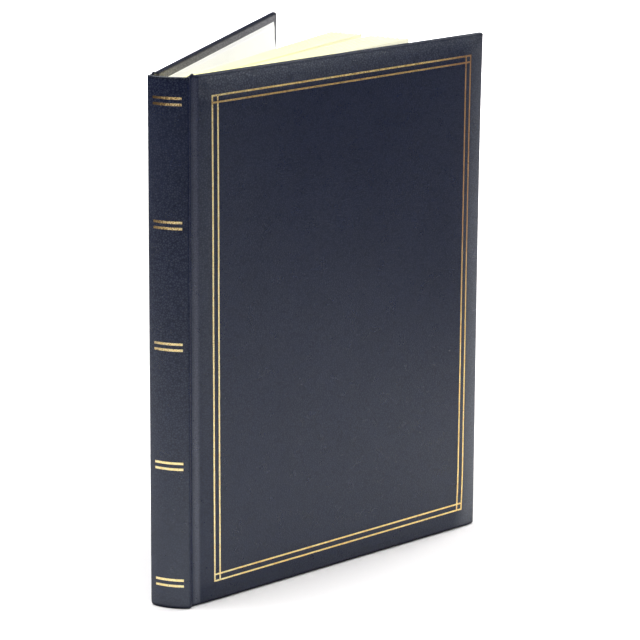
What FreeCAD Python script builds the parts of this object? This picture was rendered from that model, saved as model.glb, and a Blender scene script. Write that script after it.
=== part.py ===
import FreeCAD, Part
import os
import Sketcher

# Stamp stock album, case bound, standing on its bottom edges with the front
# cover ajar.  Millimetres.  Spine frame: X across the thickness (+X is the
# front cover's side), Y from the spine towards the fore edge, Z up, floor at
# Z = 0.  Each hinged piece is drawn with its hinge line on its own Z axis and
# turned to its rest angle by its Placement.

DOC = FreeCAD.newDocument("stamp_album")
V = FreeCAD.Vector
ROT = FreeCAD.Rotation
PLACE = FreeCAD.Placement

# ---------------------------------------------------------------- dimensions

DIMS = [
    # case
    ("cover_height", 305.0),
    ("cover_width", 230.0),
    ("spine_half", 12.0),
    ("spine_bulge", 2.6),
    ("spine_radius", 28.992308),
    ("leather", 0.4),
    ("spine_board_thick", 1.0),
    ("spine_board_half", 11.2),
    ("foil", 0.06),
    # hinge lines of the covers
    ("joint_x", 9.6),
    ("joint_y", 4.4),
    ("joint_bead", 0.9),
    ("joint_edge", 5.5),
    # covers, measured from the hinge line: face outwards, inwards
    ("face_out", 2.4),
    ("face_in", 0.8),
    ("pad_thick", 1.6),
    ("pad_foot", 1.6),
    ("pad_slope", 6.8),
    ("turn_in", 5.6),
    ("pastedown_thick", 0.15),
    ("lip_start", 1.25),
    # gold frame on the front cover
    ("frame_hinge", 9.0),
    ("frame_fore", 12.0),
    ("frame_end", 12.3),
    ("frame_pitch", 3.83),
    ("frame_line", 1.0),
    # gold bands on the spine
    ("band_first", 15.2),
    ("band_step", 69.1),
    ("band_pair", 3.45),
    ("band_tall", 1.4),
    ("band_half", 8.4),
    # leaf block
    ("block_base", 6.4),
    ("block_tall", 292.0),
    ("block_back", 3.0),
    ("stub_end", 13.9),
    ("leaf_pitch", 1.0),
    ("stub_thick", 0.98),
    ("leaf_line", 15.5),
    ("leaf_wide", 198.0),
    ("leaf_thick", 0.4),
    ("crease_thick", 0.16),
    ("crease_from", 0.6),
    ("crease_to", 4.0),
    ("linen_bead", 0.2),
    ("linen_thick", 0.2),
    ("lining_thick", 0.4),
    # glassine
    ("strip_thick", 0.08),
    ("strip_from", 10.0),
    ("strip_side", 4.0),
    ("strip_tall", 25.0),
    ("strip_first", 9.0),
    ("strip_step", 31.5),
    ("strip_rows", 9),
    ("veil_gap", 0.02),
    ("veil_thick", 0.05),
    # endpapers
    ("flyleaf_x", 8.3),
    ("flyleaf_thick", 0.2),
    ("flyleaf_line", 14.3),
    ("flyleaf_wide", 199.2),
    ("tab_thick", 0.2),
    ("tab_from", 9.0),
    # wire stitches
    ("wire_radius", 0.3),
    ("wire_hole", 0.45),
    ("wire_y", 6.6),
    ("wire_x", 8.32),
    ("wire_first", 44.0),
    ("wire_step", 68.0),
    ("wire_crown", 12.0),
    ("wire_clinch", 5.0),
    # rest angles, degrees from closed
    ("open_front", 29.9),
    ("open_back", 1.6),
    ("open_front_flyleaf", 26.5),
    ("open_back_flyleaf", 0.9),
    # row origin in the spine frame
    ("origin_x", 52.23815),
    ("origin_y", 113.6372),
]
LEAF_ANGLES = [20.7, 20.0, 19.3, 18.6, 17.9, 17.2, 16.5, 15.8,
               13.6, 13.1, 12.6, 12.1, 11.6, 11.1, 10.6, 10.1]
for number, angle in enumerate(LEAF_ANGLES, 1):
    DIMS.append(("open_leaf_%02d" % number, angle))

SHEET = DOC.addObject("Spreadsheet::Sheet", "dims")
NUMBER = {}
for line, (name, value) in enumerate(DIMS, 1):
    SHEET.set("A%d" % line, name)
    SHEET.set("B%d" % line, "%.9g" % value)
    SHEET.setAlias("B%d" % line, name)
    NUMBER[name] = float(value)
DOC.recompute()


class Q:
    """A length: its number and the sheet expression it comes from."""

    def __init__(self, value, text):
        self.value = float(value)
        self.text = text

    def __add__(self, other):
        other = q(other)
        return Q(self.value + other.value, "(%s + %s)" % (self.text, other.text))

    def __sub__(self, other):
        other = q(other)
        return Q(self.value - other.value, "(%s - %s)" % (self.text, other.text))

    def __mul__(self, other):
        other = q(other)
        return Q(self.value * other.value, "(%s * %s)" % (self.text, other.text))

    def __radd__(self, other):
        return q(other) + self

    def __rsub__(self, other):
        return q(other) - self

    def __rmul__(self, other):
        return q(other) * self

    def __neg__(self):
        return Q(-self.value, "(0 - %s)" % self.text)


def q(thing):
    if isinstance(thing, Q):
        return thing
    if isinstance(thing, str):
        return Q(NUMBER[thing], "dims." + thing)
    text = "%.9g" % thing
    return Q(thing, text if thing >= 0 else "(0 - %.9g)" % -thing)


def bind(obj, prop, length):
    length = q(length)
    setattr(obj, prop, length.value)
    obj.setExpression(prop, length.text)


def shift(obj, x, y, z, axis=None, angle=None):
    """Placement bound to the sheet; the turn is about a vertical axis."""
    x, y, z = q(x), q(y), q(z)
    turn = ROT()
    if axis is not None:
        turn = ROT(axis, q(angle).value)
    obj.Placement = PLACE(V(x.value, y.value, z.value), turn)
    obj.setExpression("Placement.Base.x", x.text)
    obj.setExpression("Placement.Base.y", y.text)
    obj.setExpression("Placement.Base.z", z.text)
    if axis is not None:
        obj.setExpression("Placement.Rotation.Angle", q(angle).text)


# ------------------------------------------------------------ solid helpers

def box(name, x0, x1, y0, y1, z0, z1):
    b = DOC.addObject("Part::Box", name)
    x0, x1, y0, y1, z0, z1 = [q(k) for k in (x0, x1, y0, y1, z0, z1)]
    bind(b, "Length", x1 - x0)
    bind(b, "Width", y1 - y0)
    bind(b, "Height", z1 - z0)
    shift(b, x0, y0, z0)
    return b


def rod_z(name, radius, x, y, z0, z1):
    c = DOC.addObject("Part::Cylinder", name)
    z0, z1 = q(z0), q(z1)
    bind(c, "Radius", radius)
    bind(c, "Height", z1 - z0)
    shift(c, x, y, z0)
    return c


def rod_x(name, radius, y, z, x0, x1):
    c = DOC.addObject("Part::Cylinder", name)
    x0, x1, y, z = q(x0), q(x1), q(y), q(z)
    bind(c, "Radius", radius)
    bind(c, "Height", x1 - x0)
    c.Placement = PLACE(V(x0.value, y.value, z.value), ROT(V(0, 1, 0), 90))
    c.setExpression("Placement.Base.x", x0.text)
    c.setExpression("Placement.Base.y", y.text)
    c.setExpression("Placement.Base.z", z.text)
    return c


def cut(name, base, tool):
    c = DOC.addObject("Part::Cut", name)
    c.Base, c.Tool = base, tool
    return c


def common(name, base, tool):
    c = DOC.addObject("Part::Common", name)
    c.Base, c.Tool = base, tool
    return c


def fuse(name, shapes):
    f = DOC.addObject("Part::MultiFuse", name)
    f.Shapes = shapes
    f.Refine = True
    return f


def group(name, shapes):
    g = DOC.addObject("Part::Compound", name)
    g.Links = shapes
    return g


def new_body(label):
    b = DOC.addObject("PartDesign::Body", label)
    b.Label = label
    if hasattr(b, "AllowCompound"):
        b.AllowCompound = True
    return b


def plane_of(body, role):
    for feature in body.Origin.OriginFeatures:
        if feature.Role == role:
            return feature
    raise RuntimeError("no plane " + role)


def empty_sketch(body, role, offset, name):
    sk = body.newObject("Sketcher::SketchObject", name)
    sk.AttachmentSupport = [(plane_of(body, role), "")]
    sk.MapMode = "FlatFace"
    offset = q(offset)
    sk.AttachmentOffset = PLACE(V(0, 0, offset.value), ROT())
    sk.setExpression("AttachmentOffset.Base.z", offset.text)
    return sk


def pin_point(sk, geo, pos, x, y):
    """Fix a sketch point by its two distances from the sketch's origin."""
    for kind, axis, length in (("DistanceX", -2, q(x)), ("DistanceY", -1, q(y))):
        if abs(length.value) < 1e-9:
            sk.addConstraint(Sketcher.Constraint("PointOnObject", geo, pos, axis))
            continue
        if length.value > 0:
            number = sk.addConstraint(Sketcher.Constraint(kind, -1, 1, geo, pos, length.value))
        else:
            length = -length
            number = sk.addConstraint(Sketcher.Constraint(kind, geo, pos, -1, 1, length.value))
        label = "%s_%d_%d" % (kind.lower(), geo, pos)
        sk.renameConstraint(number, label)
        sk.setExpression("Constraints." + label, length.text)


def polygon(body, role, offset, points, name):
    sk = empty_sketch(body, role, offset, name)
    points = [(q(x), q(y)) for x, y in points]
    count = len(points)
    for k in range(count):
        x0, y0 = points[k]
        x1, y1 = points[(k + 1) % count]
        sk.addGeometry(Part.LineSegment(V(x0.value, y0.value, 0), V(x1.value, y1.value, 0)), False)
    for k in range(count):
        sk.addConstraint(Sketcher.Constraint("Coincident", k, 2, (k + 1) % count, 1))
    for k in range(count):
        pin_point(sk, k, 1, points[k][0], points[k][1])
    return sk


def rectangle(body, role, offset, x0, x1, y0, y1, name):
    return polygon(body, role, offset, [(x0, y0), (x1, y0), (x1, y1), (x0, y1)], name)


def disc(body, role, offset, x, y, radius, name):
    sk = empty_sketch(body, role, offset, name)
    x, y, radius = q(x), q(y), q(radius)
    sk.addGeometry(Part.Circle(V(x.value, y.value, 0), V(0, 0, 1), radius.value), False)
    pin_point(sk, 0, 3, x, y)
    number = sk.addConstraint(Sketcher.Constraint("Radius", 0, radius.value))
    sk.renameConstraint(number, "radius")
    sk.setExpression("Constraints.radius", radius.text)
    return sk


def pad(body, sk, length, name):
    p = body.newObject("PartDesign::Pad", name)
    p.Profile = sk
    bind(p, "Length", length)
    sk.Visibility = False
    body.Tip = p
    return p


def pocket(body, sk, length, name, flip):
    p = body.newObject("PartDesign::Pocket", name)
    p.Profile = sk
    p.Type = 0
    p.Reversed = flip
    bind(p, "Length", length)
    sk.Visibility = False
    body.Tip = p
    return p


def loft(body, kind, first, second, name):
    f = body.newObject("PartDesign::" + kind, name)
    f.Profile = first
    f.Sections = [second]
    f.Ruled = True
    first.Visibility = False
    second.Visibility = False
    body.Tip = f
    return f


NODES = []


def node(obj, label):
    obj.Label = label
    NODES.append((label, obj))
    return obj


def at_spine(obj):
    shift(obj, -q("origin_x"), -q("origin_y"), 0)


TALL = q("cover_height")
SKIN = q("leather")

# -------------------------------------------------------------------- spine
# The curved spine: leatherette over a bent strip of board.

ARC_Y = q("spine_radius") - q("spine_bulge")


def arc_shell(name, outer, inner, half, z0, z1):
    """Part of a tube about the spine's centre line, clipped to a half width."""
    a = rod_z(name + "_outer", outer, 0, ARC_Y, z0, z1)
    b = rod_z(name + "_inner", inner, 0, ARC_Y, z0, z1)
    ring = cut(name + "_ring", a, b)
    clip = box(name + "_clip", -q(half), q(half), -4.0, 4.0, z0, z1)
    return common(name, ring, clip)


R_SKIN = q("spine_radius")
R_BOARD = R_SKIN - SKIN
R_HOLLOW = R_BOARD - q("spine_board_thick")

spine_skin = node(arc_shell("spine_skin", R_SKIN, R_BOARD, "spine_half", 0, TALL), "spine_leatherette")
at_spine(spine_skin)
spine_board = node(arc_shell("spine_stiffener", R_BOARD, R_HOLLOW, "spine_board_half", SKIN, TALL - SKIN), "spine_board")
at_spine(spine_board)

# Ten gold lines pressed on the spine in five pairs.
band_boxes = []
for pair in range(5):
    for side in (-0.5, 0.5):
        middle = q("band_first") + q("band_step") * pair + q("band_pair") * side
        band_boxes.append(box("band_%d_%d" % (pair, 0 if side < 0 else 1),
                              -q("band_half"), q("band_half"), -4.0, 0.0,
                              middle - q("band_tall") * 0.5, middle + q("band_tall") * 0.5))
foil_a = rod_z("band_outer", R_SKIN + q("foil"), 0, ARC_Y, 0, TALL)
foil_b = rod_z("band_inner", R_SKIN, 0, ARC_Y, 0, TALL)
foil_ring = cut("band_ring", foil_a, foil_b)
bands = node(common("gold_bands", foil_ring, group("band_boxes", band_boxes)), "spine_gold_bands")
at_spine(bands)


# The flexible joint at each side of the spine: a strip from the shoulder down
# to a round fold on the cover's hinge line.
def joint(label, side):
    b = new_body(label)
    pts = [(11.35, 0.26), (12.0, 0.55), (12.0, 1.1), (10.3, 4.1), (9.6, 4.0), (11.35, 0.9)]
    strip = []
    for x, y in pts:
        px = q("spine_half") + (x - 12.0) if x > 11.0 else q("joint_x") + (x - 9.6)
        py = q(y) if x > 11.0 else q("joint_y") + (y - 4.4)
        strip.append((px if side > 0 else -px, py))
    pad(b, polygon(b, "XY_Plane", 0, strip, label + "_strip_sketch"), TALL, label + "_strip")
    x = q("joint_x") if side > 0 else -q("joint_x")
    pad(b, disc(b, "XY_Plane", 0, x, "joint_y", "joint_bead", label + "_fold_sketch"), TALL, label + "_fold")
    at_spine(b)
    return node(b, label)


joint("front_joint_leatherette", 1)
joint("back_joint_leatherette", -1)

# ---------------------------------------------------------------- leaf block
# Sixteen stubs, glued side by side and wire stitched.

BASE = q("block_base")
TOP = q("block_base") + q("block_tall")
STITCHES = 4


def leaf_x(number):
    return q("leaf_pitch") * (8.5 - number)


stub_boxes = []
for number in range(1, 17):
    x = leaf_x(number)
    stub_boxes.append(box("stub_%02d" % number, x - q("stub_thick") * 0.5, x + q("stub_thick") * 0.5,
                          "block_back", "stub_end", BASE, TOP))
wire_holes = []
for k in range(STITCHES):
    for leg in (-0.5, 0.5):
        z = q("wire_first") + q("wire_step") * k + q("wire_crown") * leg
        wire_holes.append(rod_x("wire_hole_%d_%d" % (k, 0 if leg < 0 else 1), "wire_hole", "wire_y", z, -9.0, 9.0))
stubs = node(cut("stubs", group("stub_boxes", stub_boxes), group("wire_holes", wire_holes)), "leaf_stubs")
at_spine(stubs)

stitches = []
WIRE = q("wire_radius")
for k in range(STITCHES):
    middle = q("wire_first") + q("wire_step") * k
    low = middle - q("wire_crown") * 0.5
    high = middle + q("wire_crown") * 0.5
    near, far = q("wire_x") - WIRE, q("wire_x") + WIRE
    ya, yb = q("wire_y") - WIRE, q("wire_y") + WIRE
    # square stitching wire: two legs, a crown in front, two clinched ends behind
    pieces = [
        box("leg_low_%d" % k, -far, far, ya, yb, low - WIRE, low + WIRE),
        box("leg_high_%d" % k, -far, far, ya, yb, high - WIRE, high + WIRE),
        box("crown_%d" % k, near, far, ya, yb, low - WIRE, high + WIRE),
        box("clinch_low_%d" % k, -far, -near, ya, yb, low - WIRE, low + q("wire_clinch")),
        box("clinch_high_%d" % k, -far, -near, ya, yb, high - q("wire_clinch"), high + WIRE),
    ]
    stitches.append(fuse("stitch_%d" % k, pieces))
wires = node(group("wires", stitches), "wire_stitches")
at_spine(wires)

# Woven lining glued over the back of the block, with a flange to each joint.
lining = new_body("spine_lining")
half = q("leaf_pitch") * 8
back = q("block_back")
thin = q("lining_thick")
# flange end: square to the fold, where the lining meets it
fx = q("joint_x") - q("joint_bead") * 0.7071068
fy = q("joint_y") - q("joint_bead") * 0.7071068
right = [
    (half, back - thin), (fx + 0.1414, fy - 0.1414), (fx - 0.1414, fy + 0.1414), (half + 0.02, back),
]
left = [(-x, y) for x, y in reversed(right)]
pad(lining, polygon(lining, "XY_Plane", BASE + 6.0, right + left, "lining_sketch"), q("block_tall") - 12.0, "lining_pad")
at_spine(lining)
node(lining, "spine_lining")

# Linen tape from every stub to the hinge line of its leaf, and the folded
# edge of each endpaper glued to the outside of the block.
hinges = []
for number in range(1, 17):
    x = leaf_x(number)
    fold = rod_z("linen_fold_%02d" % number, "linen_bead", x, "leaf_line", BASE, TOP)
    web = box("linen_web_%02d" % number, x - q("linen_thick") * 0.5, x + q("linen_thick") * 0.5,
              "stub_end", "leaf_line", BASE, TOP)
    hinges.append(fuse("linen_%02d" % number, [fold, web]))
linen = node(group("linen", hinges), "linen_hinges")
at_spine(linen)

folds = []
for name, side in (("front", 1), ("back", -1)):
    x0, x1 = half - q("leaf_pitch") * 0.5 + q("stub_thick") * 0.5, half - q("leaf_pitch") * 0.5 + q("stub_thick") * 0.5 + q("tab_thick")
    fold_x = q("flyleaf_x")
    if side < 0:
        x0, x1, fold_x = -x1, -x0, -fold_x
    tab = box(name + "_tab", x0, x1, "tab_from", "flyleaf_line", BASE, TOP)
    fold = rod_z(name + "_tab_fold", "linen_bead", fold_x, "flyleaf_line", BASE, TOP)
    folds.append(fuse(name + "_endpaper_fold", [tab, fold]))
endfolds = node(group("endfolds", folds), "endpaper_folds")
at_spine(endfolds)


# ------------------------------------------------------------------- covers
# Board, foam, leatherette with turn-ins, pastedown.  Drawn with the hinge
# line on Z, the outer face towards +X on the front cover and -X on the back.

V0 = q("joint_edge")
V1 = q("cover_width") - q("joint_y")
OUT = q("face_out")
IN = -q("face_in")
FOOT = q("pad_foot")
CROWN = q("pad_foot") + q("pad_slope")
TURN = q("turn_in")
LAP = SKIN


def slab(body, side, u0, u1, v0, v1, z0, z1, name):
    """A block from u0 to u1 outwards, standing on the body's YZ plane."""
    u0, u1 = q(u0), q(u1)
    start = u0 if side > 0 else -u1
    sk = rectangle(body, "YZ_Plane", start, v0, v1, z0, z1, name + "_sketch")
    return sk, u1 - u0


def crown(body, side, kind, u0, u1, name):
    a = rectangle(body, "YZ_Plane", u0 if side > 0 else -u0, V0 + FOOT, V1 - FOOT, FOOT, TALL - FOOT, name + "_foot")
    b = rectangle(body, "YZ_Plane", u1 if side > 0 else -u1, V0 + CROWN, V1 - CROWN, CROWN, TALL - CROWN, name + "_top")
    return loft(body, kind, a, b, name)


def at_cover(obj, side):
    x = q("joint_x") if side > 0 else -q("joint_x")
    axis = V(0, 0, -1) if side > 0 else V(0, 0, 1)
    angle = "open_front" if side > 0 else "open_back"
    shift(obj, x - q("origin_x"), q("joint_y") - q("origin_y"), 0, axis, angle)


def cover(name, side):
    # board
    b = new_body(name + "_board")
    sk, deep = slab(b, side, IN + SKIN, OUT - SKIN, V0 + SKIN, V1 - SKIN, SKIN, TALL - SKIN, name + "_board")
    pad(b, sk, deep, name + "_board_pad")
    at_cover(b, side)
    node(b, name + "_board")

    # foam with sloping margins
    f = new_body(name + "_padding")
    crown(f, side, "AdditiveLoft", OUT - SKIN, OUT - SKIN + q("pad_thick"), name + "_foam")
    at_cover(f, side)
    node(f, name + "_padding")

    # leatherette: a skin around both, open inside the turn-ins
    s = new_body(name + "_leatherette")
    sk, deep = slab(s, side, IN, OUT, V0, V1, 0, TALL, name + "_skin")
    pad(s, sk, deep, name + "_skin_pad")
    crown(s, side, "AdditiveLoft", OUT, OUT + q("pad_thick"), name + "_skin_crown")
    # a lip along the groove, down to the fold of the joint
    low, high = (IN, IN + SKIN) if side > 0 else (-(IN + SKIN), -IN)
    pad(s, rectangle(s, "XY_Plane", 0, low, high, "lip_start", V0 + SKIN, name + "_lip_sketch"), TALL, name + "_lip")
    crown(s, side, "SubtractiveLoft", OUT - SKIN, OUT - SKIN + q("pad_thick"), name + "_skin_hollow")
    sk, deep = slab(s, side, IN + SKIN, OUT - SKIN, V0 + SKIN, V1 - SKIN, SKIN, TALL - SKIN, name + "_seat")
    pocket(s, sk, deep, name + "_seat_pocket", True)
    sk, deep = slab(s, side, IN, IN + SKIN, V0 + TURN, V1 - TURN, TURN, TALL - TURN, name + "_window")
    pocket(s, sk, deep, name + "_window_pocket", True)
    at_cover(s, side)
    node(s, name + "_leatherette")

    # pastedown: fills the window and laps over the turn-ins
    p = new_body(name + "_pastedown")
    sk, deep = slab(p, side, IN, IN + SKIN, V0 + TURN, V1 - TURN, TURN, TALL - TURN, name + "_fill")
    pad(p, sk, deep, name + "_fill_pad")
    sk, deep = slab(p, side, IN - q("pastedown_thick"), IN, V0 + TURN - LAP, V1 - TURN + LAP,
                    TURN - LAP, TALL - TURN + LAP, name + "_sheet")
    pad(p, sk, deep, name + "_sheet_pad")
    at_cover(p, side)
    node(p, name + "_pastedown")


cover("front", 1)
cover("back", -1)

# Double gold line frame; every line runs out to the outer rectangle, so the
# lines cross in a small square at each corner.
U = OUT + q("pad_thick")
LINE = q("frame_line") * 0.5
va, vb = V0 + q("frame_hinge"), V1 - q("frame_fore")
za, zb = q("frame_end"), TALL - q("frame_end")
bars = []
for k, v in enumerate((va, va + q("frame_pitch"), vb - q("frame_pitch"), vb)):
    bars.append(box("frame_upright_%d" % k, U, U + q("foil"), v - LINE, v + LINE, za - LINE, zb + LINE))
for k, z in enumerate((za, za + q("frame_pitch"), zb - q("frame_pitch"), zb)):
    bars.append(box("frame_level_%d" % k, U, U + q("foil"), va - LINE, vb + LINE, z - LINE, z + LINE))
gold = node(fuse("gold_frame", bars), "front_gold_frame")
at_cover(gold, 1)


# ------------------------------------------------------------------- leaves

def at_leaf(obj, x, axis, angle, line="leaf_line"):
    shift(obj, x - q("origin_x"), q(line) - q("origin_y"), 0, axis, angle)


def sheet_body(label, thick, wide):
    b = new_body(label)
    sk = rectangle(b, "YZ_Plane", -(q(thick) * 0.5), "crease_from", wide, BASE, TOP, label + "_sketch")
    pad(b, sk, thick, label + "_pad")
    return node(b, label)


b = sheet_body("front_flyleaf", "flyleaf_thick", "flyleaf_wide")
at_leaf(b, q("flyleaf_x"), V(0, 0, -1), "open_front_flyleaf", "flyleaf_line")
b = sheet_body("back_flyleaf", "flyleaf_thick", "flyleaf_wide")
at_leaf(b, -q("flyleaf_x"), V(0, 0, 1), "open_back_flyleaf", "flyleaf_line")

CARD = q("leaf_thick") * 0.5
for number in range(1, 17):
    label = "leaf_%02d" % number
    angle = "open_leaf_%02d" % number
    # card with a scored, thinner margin next to the linen
    b = new_body(label)
    sk = rectangle(b, "YZ_Plane", -CARD, "crease_to", "leaf_wide", BASE, TOP, label + "_card_sketch")
    pad(b, sk, "leaf_thick", label + "_card")
    sk = rectangle(b, "YZ_Plane", -(q("crease_thick") * 0.5), "crease_from", "crease_to", BASE, TOP, label + "_crease_sketch")
    pad(b, sk, "crease_thick", label + "_crease")
    at_leaf(b, leaf_x(number), V(0, 0, -1), angle)
    node(b, label)

    # pocket strips on both faces and an interleaf over the front ones
    g = new_body(label + "_glassine")
    low = BASE + q("strip_first")
    for face, start in (("front", CARD), ("back", -CARD - q("strip_thick"))):
        sk = rectangle(g, "YZ_Plane", start, "strip_from", q("leaf_wide") - q("strip_side"),
                       low, low + q("strip_tall"), "%s_%s_sketch" % (label, face))
        first = pad(g, sk, "strip_thick", "%s_%s_strip" % (label, face))
        rows = g.newObject("PartDesign::LinearPattern", "%s_%s_rows" % (label, face))
        rows.Originals = [first]
        rows.Direction = (sk, ["V_Axis"])
        bind(rows, "Length", q("strip_step") * (q("strip_rows") - 1))
        rows.Occurrences = int(NUMBER["strip_rows"])
        rows.setExpression("Occurrences", "dims.strip_rows")
        g.Tip = rows
    sk = rectangle(g, "YZ_Plane", CARD + q("strip_thick") + q("veil_gap"), "crease_to", q("leaf_wide") - 1.0,
                   BASE + 1.0, TOP - 1.0, label + "_veil_sketch")
    pad(g, sk, "veil_thick", label + "_veil")
    at_leaf(g, leaf_x(number), V(0, 0, -1), angle)
    node(g, label + "_glassine")

# ------------------------------------------------------------ build and write

DOC.recompute()
bad = []
for obj in DOC.Objects:
    if "Invalid" in obj.State or "Error" in obj.State:
        bad.append("%s %s" % (obj.Name, obj.State))
for label, obj in NODES:
    if obj.Shape.isNull() or not obj.Shape.isValid() or obj.Shape.Volume <= 0:
        bad.append(label + " shape")
if bad:
    raise RuntimeError("; ".join(bad))

os.makedirs("parts", exist_ok=True)
low, high = [1e9] * 3, [-1e9] * 3
for label, obj in NODES:
    obj.Shape.exportStep("parts/%s.step" % label)
    box_of = obj.Shape.BoundBox
    low = [min(low[0], box_of.XMin), min(low[1], box_of.YMin), min(low[2], box_of.ZMin)]
    high = [max(high[0], box_of.XMax), max(high[1], box_of.YMax), max(high[2], box_of.ZMax)]
    print("%-26s solids %3d volume %10.1f  x %7.2f %7.2f  y %7.2f %7.2f  z %6.2f %6.2f" % (
        label, len(obj.Shape.Solids), obj.Shape.Volume,
        box_of.XMin, box_of.XMax, box_of.YMin, box_of.YMax, box_of.ZMin, box_of.ZMax))
print("box", [round(k, 4) for k in low], [round(k, 4) for k in high])
print("nodes", len(NODES))
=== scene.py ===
import math

import bpy
import numpy as np
from mathutils import Matrix


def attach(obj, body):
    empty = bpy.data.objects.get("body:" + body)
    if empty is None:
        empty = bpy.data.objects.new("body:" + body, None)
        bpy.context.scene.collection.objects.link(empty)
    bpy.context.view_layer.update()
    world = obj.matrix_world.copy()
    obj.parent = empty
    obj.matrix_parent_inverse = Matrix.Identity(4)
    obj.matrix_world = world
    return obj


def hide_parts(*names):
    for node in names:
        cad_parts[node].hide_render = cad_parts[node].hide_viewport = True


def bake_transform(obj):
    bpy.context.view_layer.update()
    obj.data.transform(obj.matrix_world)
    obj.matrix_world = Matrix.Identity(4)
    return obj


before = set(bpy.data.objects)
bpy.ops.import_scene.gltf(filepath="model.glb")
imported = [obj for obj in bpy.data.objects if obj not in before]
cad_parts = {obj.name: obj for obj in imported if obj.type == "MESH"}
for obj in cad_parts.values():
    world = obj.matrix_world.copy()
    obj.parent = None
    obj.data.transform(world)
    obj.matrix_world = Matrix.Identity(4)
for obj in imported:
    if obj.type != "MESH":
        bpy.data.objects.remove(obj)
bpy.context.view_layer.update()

# Stamp album, case bound, standing on its bottom edges with the front cover
# ajar.  Shapes are worked out in millimetres in the spine's own frame: X across
# the thickness (+X is the front cover's side), Y from the spine to the fore
# edge, Z up.  put() brings them to the row frame in metres.

OX, OY = 52.23815, 113.6372
AX, AY = 9.6, 4.4                  # hinge line of a cover, mirrored for the back
TALL = 305.0
V0, V1 = 5.5, 225.6                # covered board, from the hinge line
FRONT, BACK = 29.9, 1.6            # rest opening of the covers, degrees
FLY = {1: 26.5, -1: 0.9}
LEAVES = [20.7, 20.0, 19.3, 18.6, 17.9, 17.2, 16.5, 15.8,
          13.6, 13.1, 12.6, 12.1, 11.6, 11.1, 10.6, 10.1]
ARC_R, ARC_Y = 28.992308, 26.392308


def put(points):
    p = np.array(points, float).reshape(-1, 3)
    return (p - np.array([OX, OY, 0.0])) * 0.001


def ease(t):
    t = np.clip(t, 0.0, 1.0)
    return t * t * (3 - 2 * t)


# ------------------------------------------------------------------- meshes

class Shape:
    """Collects vertices, faces and the flat coordinates of the material, in mm."""

    def __init__(self):
        self.v, self.f, self.t = [], [], []
        self.count = 0

    def points(self, p):
        p = np.asarray(p, float).reshape(-1, 3)
        first = self.count
        self.v.append(p)
        self.count += len(p)
        return first

    def faces(self, quads, flat, flip=False):
        quads, flat = np.asarray(quads), np.asarray(flat, float)
        if flip:
            quads, flat = quads[:, ::-1], flat[:, ::-1]
        self.f.append(quads)
        self.t.append(flat)

    def slab(self, top, low, flat_top, flat_low, mask=None, flip=False):
        """A closed sheet between two grids.  mask picks the cells that are there."""
        n, m = top.shape[:2]
        a0 = self.points(top)
        b0 = self.points(low)
        idx = np.arange(n * m).reshape(n, m)
        if mask is None:
            mask = np.ones((n - 1, m - 1), bool)
        ft, fl = flat_top.reshape(-1, 2), flat_low.reshape(-1, 2)
        i, j = np.nonzero(mask)
        a, b, c, d = idx[i, j], idx[i + 1, j], idx[i + 1, j + 1], idx[i, j + 1]
        q = np.stack([a, b, c, d], 1)
        self.faces(a0 + q, ft[q], flip)
        r = np.stack([a, d, c, b], 1)
        self.faces(b0 + r, fl[r], flip)
        wide = np.pad(mask, 1)
        thick = np.linalg.norm(top - low, axis=2).reshape(-1)
        for di, dj, p, s, axis, sign in ((0, -1, b, a, 1, -1), (0, 1, d, c, 1, 1),
                                         (-1, 0, a, d, 0, -1), (1, 0, c, b, 0, 1)):
            open_side = ~wide[i + 1 + di, j + 1 + dj]
            p, s = p[open_side], s[open_side]
            if not len(p):
                continue
            quads = np.stack([a0 + p, a0 + s, b0 + s, b0 + p], 1)
            out = np.zeros((len(p), 2))
            out[:, axis] = sign
            flat = np.stack([ft[p], ft[s], ft[s] + out * thick[s][:, None], ft[p] + out * thick[p][:, None]], 1)
            self.faces(quads, flat, flip)

    def build(self, name, material, angle=38.0):
        v = np.concatenate(self.v)
        f = np.concatenate(self.f)
        t = np.concatenate(self.t)
        used, f2 = np.unique(f, return_inverse=True)
        f = f2.reshape(f.shape)
        v = v[used]
        me = bpy.data.meshes.new(name)
        me.from_pydata(put(v).tolist(), [], f.tolist())
        layer = me.uv_layers.new(name="grain")
        layer.uv.foreach_set("vector", t.reshape(-1, 2).astype(np.float32).ravel())
        me.polygons.foreach_set("use_smooth", np.ones(len(me.polygons), bool))
        me.set_sharp_from_angle(angle=math.radians(angle))
        me.materials.append(material)
        me.update()
        ob = bpy.data.objects.new(name, me)
        bpy.context.scene.collection.objects.link(ob)
        return ob


def merged(values, gap=0.03):
    out = []
    for x in sorted(values):
        if not out or x - out[-1] > gap:
            out.append(x)
    return out


def filled(values, step):
    """The given stations with even ones between them, no further apart than step."""
    out = [values[0]]
    for a, b in zip(values[:-1], values[1:]):
        k = max(1, int(math.ceil((b - a) / step)))
        out += [a + (b - a) * i / k for i in range(1, k + 1)]
    return np.array(out)


def through(points, per):
    """A smooth line through the points."""
    p = np.array(points, float)
    p = np.vstack([2 * p[0] - p[1], p, 2 * p[-1] - p[-2]])
    out = []
    for k in range(1, len(p) - 2):
        a, b, c, d = p[k - 1], p[k], p[k + 1], p[k + 2]
        for s in np.linspace(0, 1, per, endpoint=False):
            out.append(0.5 * (2 * b + (c - a) * s + (2 * a - 5 * b + 4 * c - d) * s ** 2
                              + (3 * b - a - 3 * c + d) * s ** 3))
    out.append(p[-2])
    return np.array(out)


def length_along(p):
    return np.concatenate([[0], np.cumsum(np.linalg.norm(np.diff(p, axis=0), axis=1))])


# ---------------------------------------------------------------- materials

def surface(name):
    m = bpy.data.materials.new(name)
    m.use_nodes = True
    nt = m.node_tree
    nt.nodes.clear()
    out = nt.nodes.new("ShaderNodeOutputMaterial")
    sh = nt.nodes.new("ShaderNodeBsdfPrincipled")
    nt.links.new(sh.outputs["BSDF"], out.inputs["Surface"])
    return m, nt, sh


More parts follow.
